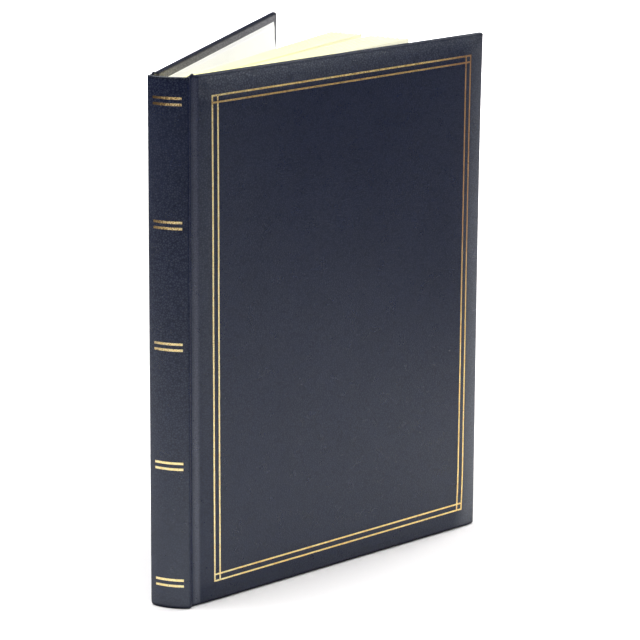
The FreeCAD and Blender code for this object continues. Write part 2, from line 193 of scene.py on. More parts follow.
def node(nt, kind, **values):
    n = nt.nodes.new(kind)
    for key, value in values.items():
        if key in n.inputs:
            n.inputs[key].default_value = value
        else:
            setattr(n, key, value)
    return n


def flat_map(nt, stretch=(1, 1, 1), turn=0.0):
    uv = node(nt, "ShaderNodeUVMap", uv_map="grain")
    mp = node(nt, "ShaderNodeMapping")
    mp.inputs["Scale"].default_value = stretch
    mp.inputs["Rotation"].default_value = (0, 0, turn)
    nt.links.new(uv.outputs["UV"], mp.inputs["Vector"])
    return mp.outputs["Vector"]


def solid_map(nt, stretch=(1000, 1000, 1000)):
    tc = node(nt, "ShaderNodeTexCoord")
    mp = node(nt, "ShaderNodeMapping")
    mp.inputs["Scale"].default_value = stretch
    nt.links.new(tc.outputs["Object"], mp.inputs["Vector"])
    return mp.outputs["Vector"]


def noise(nt, vector, scale, detail=3.0, rough=0.55):
    n = node(nt, "ShaderNodeTexNoise", Scale=scale, Detail=detail, Roughness=rough)
    nt.links.new(vector, n.inputs["Vector"])
    return n.outputs["Fac"]


def ramp(nt, value, stops):
    r = node(nt, "ShaderNodeValToRGB")
    el = r.color_ramp.elements
    while len(el) < len(stops):
        el.new(0.5)
    for e, (at, colour) in zip(el, stops):
        e.position = at
        e.color = tuple(colour) + (1.0,) if len(colour) == 3 else colour
    nt.links.new(value, r.inputs["Fac"])
    return r.outputs["Color"]


def grey(nt, value, lo, hi, a=0.25, b=0.75):
    n = node(nt, "ShaderNodeMapRange")
    n.inputs["From Min"].default_value = a
    n.inputs["From Max"].default_value = b
    n.inputs["To Min"].default_value = lo
    n.inputs["To Max"].default_value = hi
    nt.links.new(value, n.inputs["Value"])
    return n.outputs["Result"]


def math_node(nt, op, a, b=None):
    n = node(nt, "ShaderNodeMath", operation=op)
    for k, x in enumerate((a, b)):
        if x is None:
            continue
        if isinstance(x, (int, float)):
            n.inputs[k].default_value = x
        else:
            nt.links.new(x, n.inputs[k])
    return n.outputs["Value"]


def blended(nt, fac, a, b, mode="MIX"):
    n = node(nt, "ShaderNodeMix", data_type="RGBA", blend_type=mode)
    for socket, x in ((n.inputs[0], fac), (n.inputs[6], a), (n.inputs[7], b)):
        if isinstance(x, (int, float)):
            socket.default_value = x
        elif isinstance(x, tuple):
            socket.default_value = x + (1.0,) if len(x) == 3 else x
        else:
            nt.links.new(x, socket)
    return n.outputs[2]


def bump(nt, sh, height, depth, strength=1.0, after=None):
    n = node(nt, "ShaderNodeBump", Strength=strength, Distance=depth)
    nt.links.new(height, n.inputs["Height"])
    if after is not None:
        nt.links.new(after, n.inputs["Normal"])
    if sh is not None:
        nt.links.new(n.outputs["Normal"], sh.inputs["Normal"])
    return n.outputs["Normal"]


def grain_height(nt, cell=0.75):
    """Pebbled grain of the leatherette: small uneven cells with creases between them."""
    base = flat_map(nt)
    cells = node(nt, "ShaderNodeTexVoronoi", feature="DISTANCE_TO_EDGE", Scale=cell)
    cells.inputs["Randomness"].default_value = 0.92
    nt.links.new(base, cells.inputs["Vector"])
    rounded = node(nt, "ShaderNodeMapRange", interpolation_type="SMOOTHSTEP")
    for key, value in (("From Min", 0.0), ("From Max", 0.26), ("To Min", 0.0), ("To Max", 1.0)):
        rounded.inputs[key].default_value = value
    nt.links.new(cells.outputs["Distance"], rounded.inputs["Value"])
    pebble = rounded.outputs["Result"]
    fine = noise(nt, base, 2.2, 2.0, 0.5)
    return base, pebble, math_node(nt, "ADD", pebble, math_node(nt, "MULTIPLY", fine, 0.7))


def window(nt, value, a, b, c, d):
    """0 outside a..d, 1 between b and c."""
    up = grey(nt, value, 0.0, 1.0, a, b)
    down = grey(nt, value, 0.0, 1.0, c, d)
    return math_node(nt, "SUBTRACT", up, down)


def leatherette():
    """Navy leatherette.  Its flat X is 0 at the crease between joint and board."""
    m, nt, sh = surface("navy_leatherette")
    base, pebble, height = grain_height(nt)
    parts = node(nt, "ShaderNodeSeparateXYZ")
    nt.links.new(base, parts.inputs["Vector"])
    x, y = parts.outputs["X"], parts.outputs["Y"]
    inside = math_node(nt, "ADD", grey(nt, x, 0.0, 1.0, 278.0, 280.0), window(nt, x, -300.0, -298.0, -36.0, -34.0))
    joint = window(nt, x, -5.0, -2.0, -0.2, 1.5)
    level = math_node(nt, "SUBTRACT", y, math_node(nt, "MULTIPLY", inside, 47.0))
    rim = math_node(nt, "SUBTRACT", 1.0, window(nt, level, 0.6, 1.9, 303.1, 304.4))
    tone = noise(nt, base, 0.035, 4.0)
    body = ramp(nt, tone, [(0.30, (0.0036, 0.0083, 0.0355)), (0.72, (0.0055, 0.0110, 0.0420))])
    # painted highlight: a paler navy base colour along the joint stands in for the light strip the groove reflects
    body = blended(nt, math_node(nt, "MULTIPLY", joint, 0.8), body, (0.033, 0.038, 0.080))
    # painted reflection: the inner face and turn-ins get a paler grey base colour that stands in for the grazing
    # reflection on the turn-in
    body = blended(nt, inside, body, (0.021, 0.0185, 0.031))
    # painted shade: the head and tail rims get a darker navy base colour
    body = blended(nt, math_node(nt, "MULTIPLY", rim, 0.8), body, (0.0060, 0.0080, 0.0170))
    crease = ramp(nt, pebble, [(0.0, (0.50, 0.50, 0.52)), (0.45, (1.0, 1.0, 1.0))])
    nt.links.new(blended(nt, 0.7, body, crease, "MULTIPLY"), sh.inputs["Base Color"])
    rub = noise(nt, base, 0.09, 3.0)
    rough = math_node(nt, "ADD", grey(nt, rub, 0.25, 0.33), grey(nt, pebble, 0.10, 0.0))
    nt.links.new(math_node(nt, "ADD", rough, math_node(nt, "MULTIPLY", rim, 0.10)), sh.inputs["Roughness"])
    # painted highlight and painted shade through the shine: higher along the joint, the margins of the front, the
    # lower panel and the spine, lower over the upper panel, the bottom margin and a line beside the joint, and
    # falling from left to right
    board = window(nt, x, 0.6, 1.6, 222.0, 230.0)
    shine = grey(nt, x, 0.48, 0.42, 20.0, 205.0)
    for mask, other, gain in (
            (joint, None, 0.34),
            (window(nt, x, 0.4, 1.6, 8.0, 13.5), grey(nt, level, 0.0, 1.0, 60.0, 230.0), 0.42),
            (window(nt, x, 203.0, 212.0, 222.0, 230.0), None, 0.48),
            (board, grey(nt, level, 0.0, 1.0, 290.0, 295.0), 0.50),
            (window(nt, x, 0.6, 1.6, 90.0, 190.0), grey(nt, level, 0.0, 1.0, 289.0, 294.0), 0.42),
            (window(nt, x, 25.0, 75.0, 130.0, 215.0), grey(nt, level, 0.0, 1.0, 150.0, 250.0), -0.10),
            (window(nt, x, 100.0, 190.0, 203.0, 208.0), window(nt, level, 100.0, 150.0, 190.0, 260.0), -0.07),
            (window(nt, x, 60.0, 190.0, 222.0, 230.0), grey(nt, level, 1.0, 0.0, 60.0, 150.0), 0.09),
            (board, grey(nt, level, 1.0, 0.0, 9.0, 14.0), -0.12),
            (window(nt, x, -36.0, -35.0, -7.0, -6.0), grey(nt, level, 1.0, 0.0, 15.0, 170.0), 0.20),
            (window(nt, x, -36.0, -35.0, -7.0, -6.0), grey(nt, level, 0.0, 1.0, 30.0, 140.0), 0.14),
            (window(nt, x, -10.6, -9.0, -5.8, -5.0), None, -0.36)):
        part = math_node(nt, "MULTIPLY", mask, gain)
        shine = math_node(nt, "ADD", shine, part if other is None else math_node(nt, "MULTIPLY", part, other))
    # painted shade: the shine is cut to a tenth on the head and tail rims, all but the spine's head
    spine_head = math_node(nt, "MULTIPLY", window(nt, x, -36.0, -35.0, -7.0, -6.0), grey(nt, level, 0.0, 1.0, 150.0, 160.0))
    rim_shade = math_node(nt, "SUBTRACT", rim, math_node(nt, "MULTIPLY", rim, spine_head))
    shine = math_node(nt, "MULTIPLY", shine, grey(nt, rim_shade, 1.0, 0.10, 0.0, 1.0))
    # the grain shows more towards the head, and on the spine
    spine = window(nt, x, -36.0, -35.0, -7.0, -6.0)
    hollow = math_node(nt, "MULTIPLY", math_node(nt, "SUBTRACT", 1.0, pebble), 
                       math_node(nt, "ADD", grey(nt, level, 0.12, 0.34, 40.0, 230.0), grey(nt, level, 0.0, 0.20, 284.0, 292.0)))
    hollow = math_node(nt, "ADD", hollow, math_node(nt, "MULTIPLY", math_node(nt, "MULTIPLY", spine, grey(nt, level, 0.0, 0.25, 40.0, 200.0)),
                                                    math_node(nt, "SUBTRACT", 1.0, pebble)))
    shine = math_node(nt, "MULTIPLY", shine, math_node(nt, "SUBTRACT", 1.06, hollow))
    nt.links.new(shine, sh.inputs["Specular IOR Level"])
    sh.inputs["Specular Tint"].default_value = (0.945, 1.0, 0.995, 1.0)
    swells = bump(nt, None, noise(nt, base, 0.16, 3.0), 0.00012, 0.35)
    bump(nt, sh, height, 0.00006, 0.7, swells)
    return m


def gold_foil(name, rubbed):
    """Foil pressed on the grain, specked where it is rubbed off. Bronze and dark where it is painted shade, with pale
    specks as painted glints, and paler where it is painted bright reflection.
    """
    m, nt, sh = surface(name)
    base, pebble, height = grain_height(nt)
    parts = node(nt, "ShaderNodeSeparateXYZ")
    nt.links.new(base, parts.inputs["Vector"])
    x, y = parts.outputs["X"], parts.outputs["Y"]
    tone = noise(nt, base, 0.35, 3.0)
    speck = noise(nt, base, 1.3, 3.0, 0.65)
    gold = ramp(nt, tone, [(0.25, (0.86, 0.52, 0.17)), (0.50, (1.0, 0.73, 0.29)), (0.78, (1.0, 0.85, 0.46))])
    pale_gold = ramp(nt, tone, [(0.25, (0.97, 0.68, 0.26)), (0.50, (1.0, 0.83, 0.42)), (0.78, (1.0, 0.90, 0.55))])
    if rubbed:
        # upper bands: more foil rubbed off at the left as wear, and painted reflection: bronze, dark towards the left
        # as painted shade, pale specks as painted glints
        high = grey(nt, y, 0.0, 1.0, 90.0, 292.0)
        left = grey(nt, x, 0.20, 0.09, -7.0, 4.0)
        speck = math_node(nt, "SUBTRACT", speck, math_node(nt, "MULTIPLY", high, left))
        gold = blended(nt, math_node(nt, "MULTIPLY", high, grey(nt, x, 0.9, 0.55, -6.0, 5.0)), pale_gold, (0.80, 0.50, 0.19))
        gold = blended(nt, math_node(nt, "MULTIPLY", high, grey(nt, speck, 0.0, 0.9, 0.45, 0.58)), gold, (1.0, 0.94, 0.74))
        gold = blended(nt, math_node(nt, "MULTIPLY", high, grey(nt, x, 0.95, 0.0, -7.0, 1.0)), gold, (0.10, 0.055, 0.024))
    else:
        # painted reflection on the frame: paler gold on the left uprights as painted highlight, bronze and a darker
        # inner top line at the head and darker upper right uprights as painted shade, pale specks at the head as
        # painted glints
        head = grey(nt, y, 0.0, 1.0, 280.0, 286.0)
        speck = math_node(nt, "SUBTRACT", speck, math_node(nt, "MULTIPLY", head, 0.07))
        gold = blended(nt, grey(nt, x, 1.0, 0.0, 19.0, 45.0), gold, pale_gold)
        gold = blended(nt, math_node(nt, "MULTIPLY", head, 0.16), gold, (0.80, 0.50, 0.15))
        gold = blended(nt, math_node(nt, "MULTIPLY", head, grey(nt, speck, 0.0, 0.7, 0.46, 0.60)), gold, (1.0, 0.84, 0.46))
        gold = blended(nt, math_node(nt, "MULTIPLY", window(nt, y, 287.4, 288.2, 289.6, 290.4), 0.62), gold, (0.42, 0.235, 0.085))
        upper_right_shade = math_node(nt, "MULTIPLY", grey(nt, x, 0.0, 0.85, 175.0, 206.0), grey(nt, y, 0.0, 1.0, 105.0, 190.0))
        gold = blended(nt, upper_right_shade, gold, (0.40, 0.205, 0.105))
    rub = ramp(nt, speck, [(0.30, (0.0, 0.0, 0.0)), (0.42, (1.0, 1.0, 1.0))])
    nt.links.new(blended(nt, rub, (0.16, 0.10, 0.045), gold), sh.inputs["Base Color"])
    sh.inputs["Metallic"].default_value = 1.0
    nt.links.new(grey(nt, tone, 0.30, 0.44), sh.inputs["Roughness"])
    bump(nt, sh, height, 0.00008, 1.0)
    return m


def paper(name, pale, shade, fibre=0.00002, rough=0.85, mottled=0.02, fore=None):
    """Matt paper; where fore is given the sheets are that colour towards the fore edge of the first leaves, a painted
    highlight standing in for strong light there.
    """
    m, nt, sh = surface(name)
    at = solid_map(nt)
    cloud = noise(nt, at, mottled, 4.0)
    colour = ramp(nt, cloud, [(0.3, shade), (0.7, pale)])
    if fore is not None:
        parts = node(nt, "ShaderNodeSeparateXYZ")
        nt.links.new(at, parts.inputs["Vector"])
        # painted highlight: the card turns paler towards the fore edges of the first leaves
        colour = blended(nt, grey(nt, parts.outputs["X"], 0.0, 1.0, -45.0, 12.0), colour, fore)
    nt.links.new(colour, sh.inputs["Base Color"])
    tooth = noise(nt, solid_map(nt, (1000, 1000, 2600)), 1.4, 4.0, 0.65)
    nt.links.new(grey(nt, tooth, rough - 0.07, min(1.0, rough + 0.07)), sh.inputs["Roughness"])
    sh.inputs["Specular IOR Level"].default_value = 0.3
    bump(nt, sh, tooth, fibre, 0.5)
    return m


def glassine():
    m, nt, sh = surface("glassine")
    at = solid_map(nt)
    cloud = noise(nt, at, 0.05, 5.0)
    nt.links.new(ramp(nt, cloud, [(0.3, (0.80, 0.80, 0.76)), (0.7, (0.90, 0.90, 0.87))]), sh.inputs["Base Color"])
    nt.links.new(grey(nt, noise(nt, at, 0.3, 3.0), 0.22, 0.38), sh.inputs["Roughness"])
    sh.inputs["Alpha"].default_value = 0.42
    sh.inputs["Specular IOR Level"].default_value = 0.5
    bump(nt, sh, noise(nt, at, 0.12, 4.0), 0.00008, 0.4)
    return m


def woven(name, pale, shade, pitch):
    """Plain weave: over and under threads as two crossed sets of waves."""
    m, nt, sh = surface(name)
    at = solid_map(nt)
    parts = []
    for direction in ("X", "Z"):
        w = node(nt, "ShaderNodeTexWave", wave_type="BANDS", bands_direction=direction,
                 Scale=1.0 / pitch / 3.1416 * 0.5)
        w.inputs["Distortion"].default_value = 0.6
        w.inputs["Detail"].default_value = 1.0
        nt.links.new(at, w.inputs["Vector"])
        parts.append(w.outputs["Fac"])
    height = math_node(nt, "ADD", parts[0], parts[1])
    tint = grey(nt, height, 0.0, 1.0, 0.3, 1.7)
    nt.links.new(ramp(nt, tint, [(0.0, shade), (1.0, pale)]), sh.inputs["Base Color"])
    nt.links.new(grey(nt, noise(nt, at, 0.6, 3.0), 0.8, 0.95), sh.inputs["Roughness"])
    bump(nt, sh, height, 0.00006, 0.7)
    return m


def board():
    m, nt, sh = surface("greyboard")
    at = solid_map(nt)
    fleck = noise(nt, at, 0.7, 5.0, 0.7)
    nt.links.new(ramp(nt, fleck, [(0.3, (0.20, 0.19, 0.17)), (0.55, (0.33, 0.31, 0.28)), (0.75, (0.42, 0.40, 0.36))]),
                 sh.inputs["Base Color"])
    nt.links.new(grey(nt, fleck, 0.80, 0.95), sh.inputs["Roughness"])
    bump(nt, sh, fleck, 0.00006, 0.6)
    return m


def foam():
    m, nt, sh = surface("foam")
    at = solid_map(nt)
    v = node(nt, "ShaderNodeTexVoronoi", Scale=1.4)
    nt.links.new(at, v.inputs["Vector"])
    nt.links.new(ramp(nt, v.outputs["Distance"], [(0.0, (0.55, 0.54, 0.50)), (0.6, (0.82, 0.81, 0.77))]), sh.inputs["Base Color"])
    nt.links.new(grey(nt, noise(nt, at, 0.8), 0.85, 0.97), sh.inputs["Roughness"])
    bump(nt, sh, v.outputs["Distance"], 0.0002, 0.6)
    return m


def steel():
    m, nt, sh = surface("tinned_wire")
    at = solid_map(nt)
    nt.links.new(ramp(nt, noise(nt, at, 0.8, 4.0), [(0.3, (0.42, 0.42, 0.42)), (0.7, (0.68, 0.68, 0.67))]), sh.inputs["Base Color"])
    sh.inputs["Metallic"].default_value = 1.0
    nt.links.new(grey(nt, noise(nt, at, 2.5, 3.0), 0.25, 0.42), sh.inputs["Roughness"])
    bump(nt, sh, noise(nt, solid_map(nt, (1000, 1000, 200)), 5.0), 0.00002, 0.5)
    return m


LEATHER = leatherette()
GOLD = gold_foil("gold_foil", False)
BAND_GOLD = gold_foil("rubbed_shaded_gold_foil", True)
ENDPAPER = paper("endpaper", (0.90, 0.90, 0.89), (0.85, 0.85, 0.84))
CARD = paper("ivory_card", (0.93, 0.90, 0.56), (0.90, 0.87, 0.53), 0.00003, fore=(0.94, 0.92, 0.72))
GLASSINE = glassine()
LINEN = woven("linen", (0.80, 0.76, 0.66), (0.50, 0.46, 0.38), 0.35)
MULL = woven("mull", (0.78, 0.74, 0.66), (0.42, 0.39, 0.33), 0.8)
BOARD = board()
FOAM = foam()
WIRE = steel()


# --------------------------------------------------------- shape of the case

def swell(d):
    """Rise of the padding at distance d from an edge: a slope across the margin, flat inside the frame."""
    return 1 - (1 - np.clip(d / 14.0, 0, 1)) ** 2.2


def crown(v, z):
    """How far the padding lifts the outer face."""
    lift = 1.6 * swell(v - V0) * swell(V1 - v) * swell(z) * swell(TALL - z)
    return lift


def ripple(v, z):
    return (0.035 * np.sin(v / 23.0 + 0.6) * np.sin(z / 31.0 + 0.4)
            + 0.025 * np.sin(v / 11.0 - z / 17.0 + 1.1))


def bow(v, z):
    """The fore edge leans in a little above its middle."""
    t = np.clip(z / TALL, 0, 1)
    return 1.3 * ease((v - 203.0) / 22.6) * (t ** 1.6 * (1 - t) ** 0.9) / 0.2765


def roll(e, r):
    """How far a face drops at distance e from a rounded rim of radius r."""
    e = np.clip(e, 0, r)
    return r - np.sqrt(np.maximum(r * r - (r - e) ** 2, 0))


RIM = [0.0, 0.05, 0.2, 0.42, 0.72, 1.2, 1.8, 2.4, 3.0, 3.6, 4.2, 4.8, 5.4, 6.0, 7.0, 8.6]
LINE = 1.0
UPRIGHTS = (14.5, 18.33, 209.77, 213.6)
LEVELS = (12.3, 16.13, 288.87, 292.7)
BAND_Z = [15.2 + 69.1 * k + s * 1.725 for k in range(5) for s in (-1, 1)]
BAND_TALL, BAND_HALF = 1.4, 8.4
DENT = 0.10


def around(at, half, soft=0.14, beside=0.32):
    """Stations of a pressed line: its floor, its walls and the first strip of flat beside it."""
    return [at - half - soft - beside, at - half - soft, at - half,
            at + half, at + half + soft, at + half + soft + beside]


def slip(v, z):
    """The frame is not quite square: its uprights wander a little towards the tail."""
    fore = -1.0 * ease((v - 188.0) / 20.0) * ease((V1 - v) / 9.0) * ease((46.0 - z) / 46.0) ** 1.5
    return fore + 1.2 * ease((70.0 - v) / 45.0) * ease((v - 7.0) / 6.0) * np.clip(1 - z / TALL, 0, 1)


def rows(frame_lines, bands):
    z = [e for e in RIM] + [TALL - e for e in RIM]
    if frame_lines:
        for level in LEVELS:
            z += around(level, LINE / 2)
    if bands:
        for b in BAND_Z:
            z += around(b, BAND_TALL / 2)
    return filled(merged(z), 7.0)


def columns(frame_lines):
    v = [7.05, 7.6, 8.5, 9.8, 11.3, 12.7] + [V1 - e for e in RIM]
    if frame_lines:
        for upright in UPRIGHTS:
            v += around(upright, LINE / 2)
    return filled(merged(v), 7.0)


def line_depth(v, z):
    """1 in the pressed lines of the frame, 0 outside them."""
    h = LINE / 2 + 1e-6
    deep = np.zeros(np.broadcast(v, z).shape)
    lo, hi = UPRIGHTS[0] - h, UPRIGHTS[-1] + h
    bottom, top = LEVELS[0] - h, LEVELS[-1] + h
    for u in UPRIGHTS:
        deep = np.maximum(deep, (np.abs(v - u) <= h) & (z >= bottom) & (z <= top))
    for level in LEVELS:
        deep = np.maximum(deep, (np.abs(z - level) <= h) & (v >= lo) & (v <= hi))
    return deep


# Cross-section of the shoulder, the groove and the hinge edge of the board, with
# the cover closed: outer face and the face behind it, pair by pair.
GROOVE = [
    ((11.35, -0.285), (10.55, 1.16)),
    ((11.78, -0.030), (10.72, 1.36)),
    ((11.99, 0.400), (10.80, 1.66)),
    ((11.93, 0.980), (10.70, 2.02)),
    ((11.58, 1.740), (10.40, 2.48)),
    ((11.08, 2.560), (9.98, 3.06)),
    ((10.68, 3.460), (9.76, 3.72)),
    ((10.46, 4.460), (9.70, 4.52)),
    ((10.34, 5.460), (9.70, 5.40)),
    ((10.32, 6.460), (9.72, 6.40)),
    ((10.42, 7.400), (9.72, 7.40)),
    ((10.66, 8.200), (9.64, 8.30)),
    ((10.98, 8.840), (9.46, 9.10)),
    ((11.34, 9.270), (9.22, 9.70)),
    ((11.68, 9.620), (9.00, 10.20)),
    ((11.96, 10.02), (8.85, 10.60)),
    ((12.12, 10.55), (8.80, 10.95)),
    ((12.27, 11.05), (8.80, 11.15)),
]

# Outer face of the front groove as it lies with the cover open: the leatherette
# is pushed out of the groove into a strip that folds at the spine and runs up to the board.
OPEN_STRIP = [
    (11.35, -0.285), (11.78, -0.030), (11.99, 0.400), (11.97, 0.950), (11.76, 1.550), (11.53, 2.050),
    (11.46, 2.550), (11.58, 3.150), (11.86, 3.850), (12.20, 4.550), (12.58, 5.250), (12.98, 5.920),
    (13.38, 6.550), (13.74, 7.080), (14.06, 7.500), (14.40, 7.900), (14.80, 8.340), (15.23, 8.835),
]


def filled_end(x, y, ez):
    """At head and tail the turned-in leatherette fills the groove."""
    level = 11.9 + 0.012 * (y - 1.2)
    inside = ((y > 1.2) & (y < 9.9)).astype(float)
    return x + (level - x) * inside * 0.72 * np.exp(-(ez / 3.0) ** 2)


def worn_corner(x, y, z):
    """The corners at the tail of the spine are rubbed round, the back one more."""
    deep = np.where(x < 0, 0.46, 0.12)
    return -np.sign(x) * deep * roll(np.clip(z, 0, None), 3.0) * ease((np.abs(x) - 8.6) / 3.2) * ease((4.6 - y) / 3.6)


def spine_arc(x, inside=0.0):
    r = ARC_R - inside
    return np.stack([x * r / ARC_R, ARC_Y - np.sqrt(r * r - (x * r / ARC_R) ** 2)], 1)


def turned(x, y, angle):
    """Closed position to the position with the cover opened by angle, degrees."""
    u, v = x - AX, y - AY
    c, s = np.cos(np.radians(angle)), np.sin(np.radians(angle))
    return AX + u * c + v * s, AY - u * s + v * c


def follow(y):
    return ease((y - 0.9) / 7.5)


def case_side(name, side, opening, with_spine, frame_lines):
    """Leatherette of one cover with its groove, and of the spine where asked.
    side is 1 for the front and -1 for the back."""
    z = rows(frame_lines, with_spine)
    v = columns(frame_lines)
    pairs = GROOVE if with_spine else [((11.30, 1.05), (10.75, 1.55)), ((11.40, 1.80), (10.50, 2.45))] + GROOVE[5:]
    lead = pairs
    outer = through([p[0] for p in lead], 4)
    inner = through([p[1] for p in lead], 4)
    if not with_spine:
        inner[:, 0] += 0.16 * np.exp(-((inner[:, 1] - 7.2) / 1.6) ** 2)
    share_out = follow(outer[:, 1])
    if with_spine:
        open_line = through(OPEN_STRIP, 4)
        share_out = ease((open_line[:, 1] - 0.9) / 7.0)
        outer = np.stack(turned(open_line[:, 0], open_line[:, 1], -share_out * opening), 1)
    share_in = follow(inner[:, 1])
    kind = np.ones(len(outer))                     # 1 groove, 0 spine, 2 board
    if with_spine:
        xs = np.array(filled(merged([-11.0, -9.6] + around(0.0, BAND_HALF) + [9.6, 11.0]), 0.9))
        left = GROOVE[:5]
        lo = through([(-p[0][0], p[0][1]) for p in left][::-1], 4)
        li = through([(-p[1][0], p[1][1]) for p in left][::-1], 4)
        outer = np.vstack([lo, spine_arc(xs), outer])
        inner = np.vstack([li, spine_arc(xs, 1.7), inner])
        kind = np.concatenate([np.zeros(len(lo)), np.zeros(len(xs)), kind])
        still = np.zeros(len(lo) + len(xs))
        share_out, share_in = np.concatenate([still, share_out]), np.concatenate([still, share_in])
    n0 = len(outer)
    outer = np.vstack([outer, np.stack([np.full(len(v), AX + 2.4), AY + v], 1)])
    inner = np.vstack([inner, np.stack([np.full(len(v), AX - 0.8), AY + v], 1)])
    kind = np.concatenate([kind, np.full(len(v), 2)])
    along = length_along(outer)
    n, m = len(outer), len(z)
    Z = np.broadcast_to(z, (n, m)).copy()
    X, Y = np.repeat(outer[:, :1], m, 1), np.repeat(outer[:, 1:], m, 1)
    IX, IY = np.repeat(inner[:, :1], m, 1), np.repeat(inner[:, 1:], m, 1)
    ez = np.minimum(Z, TALL - Z)

    # board part
    p = slice(n0, n)
    if frame_lines:
        Y[p] += slip(Y[p] - AY, Z[p])
    vv = Y[p] - AY
    ev = V1 - vv
    r = 1.2
    a, b = np.clip(r - ez[p], 0, r), np.clip(r - ev, 0, r)
    drop = r - np.sqrt(np.maximum(r * r - np.minimum(a * a + b * b, r * r), 0))
    lean = bow(vv, Z[p]) if side > 0 else 0.0
    face = 2.4 + crown(vv, Z[p]) + ripple(vv, Z[p]) * swell(ez[p]) * swell(ev) * swell(vv - V0)
    if frame_lines:
        face = face - DENT * line_depth(np.repeat(v[:, None], m, 1), Z[p])
    back = np.full(vv.shape, -0.8)
    # mitred turn-ins at the two fore-edge corners
    for k, e in enumerate(RIM):
        if e < 0.5 or e > 8:
            continue
        seam = (np.abs(ev - e) < 1e-6) & (np.abs(ez[p] - e) < 1e-6)
        back = np.where(seam, -0.62, back)
    X[p] = AX + face - drop - lean
    IX[p] = AX + back + drop - lean
    # rounded corners of the board, seen from outside
    rc = 1.4 if side > 0 else 3.0
    ca, cb = np.clip((rc - ev) / rc, 0, 1), np.clip((rc - ez[p]) / rc, 0, 1)
    na, nb = ca * np.sqrt(1 - cb * cb / 2), cb * np.sqrt(1 - ca * ca / 2)
    move_v, move_z = (ca - na) * rc, (cb - nb) * rc
    Y[p] -= move_v
    IY[p] -= move_v
    up = np.where(Z[p] < TALL / 2, 1, -1)
    Z[p] += up * move_z

    # groove and spine: rims at head and tail, pressed bands
    q = slice(0, n0)
    level = np.maximum(Y[q] - AY - V0, 0)
    X[q] -= np.where(level > 0, 1.6 * swell(level) * (1 - swell(ez[q])), 0)
    if with_spine:
        right = X[q] > 0
        X[q] = np.where(right, filled_end(X[q], Y[q], ez[q]), X[q])
    else:
        X[q] = filled_end(X[q], Y[q], ez[q])
    for XX, YY in ((X, Y), (IX, IY)):
        XX[q] += side * worn_corner(side * XX[q], YY[q], Z[q])
    Z[q] += 1.0 * np.exp(-((Y[q] - 6.1) / 1.5) ** 2) * np.exp(-np.clip(TALL - Z[q], 0, None) / 1.6) * (Z[q] > 200)
    gap = np.hypot(X[q] - IX[q], Y[q] - IY[q])
    rr = np.minimum(0.46 * gap, 1.2)
    share = np.where(gap > 0, roll(ez[q], rr) / np.maximum(gap, 1e-6), 0)
    dx, dy = IX[q] - X[q], IY[q] - Y[q]
    X[q], Y[q], IX[q], IY[q] = X[q] + dx * share, Y[q] + dy * share, IX[q] - dx * share, IY[q] - dy * share
    if with_spine:
        on_arc = (kind[q] == 0)[:, None] & (np.abs(outer[q, :1]) <= BAND_HALF + 1e-6)
        pressed = np.zeros(X[q].shape, bool)
        for bz in BAND_Z:
            pressed |= np.abs(Z[q] - bz) <= BAND_TALL / 2 + 1e-6
        pressed &= on_arc
        nx, ny = -X[q] / ARC_R, (ARC_Y - Y[q]) / ARC_R
        X[q], Y[q] = X[q] + nx * DENT * pressed, Y[q] + ny * DENT * pressed

    w = np.concatenate([share_out, np.ones(len(v))])[:, None]
    wi = np.concatenate([share_in, np.ones(len(v))])[:, None]
    X, Y = turned(X, Y, w * opening)
    IX, IY = turned(IX, IY, wi * opening)
    top = np.stack([side * X, Y, Z], 2)
    low = np.stack([side * IX, IY, Z], 2)
    crease = along[n0 - 13] + (0.0 if with_spine else 600.0)
    flat = np.stack([np.repeat(along[:, None] - crease, m, 1), np.broadcast_to(z, (n, m))], 2)
    under = flat + np.array([331.0, 47.0])
    s = Shape()
    s.slab(top, low, flat, under, flip=side < 0)
    ob = s.build(name, LEATHER, 26.0)
    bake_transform(ob)
    return ob, z, v, along, n0


CASE, CASE_Z, CASE_V, CASE_ALONG, CASE_N0 = case_side("case_leatherette", 1, FRONT, True, True)
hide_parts("front_leatherette", "spine_leatherette", "front_joint_leatherette")
REAR, *_ = case_side("back_case_leatherette", -1, BACK, False, False)
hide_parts("back_leatherette", "back_joint_leatherette")


def gold_frame():
    """Foil pressed into the lines of the front cover."""
    z = filled(merged([x for level in LEVELS for x in (level - LINE / 2, level + LINE / 2)]), 7.0)
    v = filled(merged([x for u in UPRIGHTS for x in (u - LINE / 2, u + LINE / 2)]), 7.0)
    V, Z = np.meshgrid(v, z, indexing="ij")
    mv, mz = (v[1:] + v[:-1]) / 2, (z[1:] + z[:-1]) / 2
    mask = line_depth(mv[:, None], mz[None, :]) > 0
    flat = np.stack([V, Z], 2)
    V = V + slip(V, Z)
    ez, ev = np.minimum(Z, TALL - Z), V1 - V
    face = 2.4 + crown(V, Z) + ripple(V, Z) * swell(ez) * swell(ev) * swell(V - V0) - bow(V, Z)
    grids = []
    for level in (-0.03, -0.13):
        x, y = turned(AX + face + level, AY + V, FRONT)
        grids.append(np.stack([x, y, Z], 2))
    s = Shape()
    s.slab(grids[0], grids[1], flat, flat + 500.0, mask)
    ob = s.build("front_gold_lines", GOLD)
    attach(ob, "front_cover")
    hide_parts("front_gold_frame")


def gold_bands():
    x = filled([-BAND_HALF, BAND_HALF], 0.9)
    s = Shape()
    for bz in BAND_Z:
        z = np.linspace(bz - BAND_TALL / 2, bz + BAND_TALL / 2, 3)
        grids = []
        for level in (0.03, 0.13):
            arc = spine_arc(x, level)
            g = np.zeros((len(x), 3, 3))
            g[:, :, 0], g[:, :, 1], g[:, :, 2] = arc[:, :1], arc[:, 1:], z
            grids.append(g)
        flat = np.stack(np.meshgrid(x, z, indexing="ij"), 2)
        s.slab(grids[0], grids[1], flat, flat + 300.0)
    ob = s.build("spine_gold_lines", BAND_GOLD)
    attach(ob, "spine")
    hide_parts("spine_gold_bands")


gold_frame()
gold_bands()


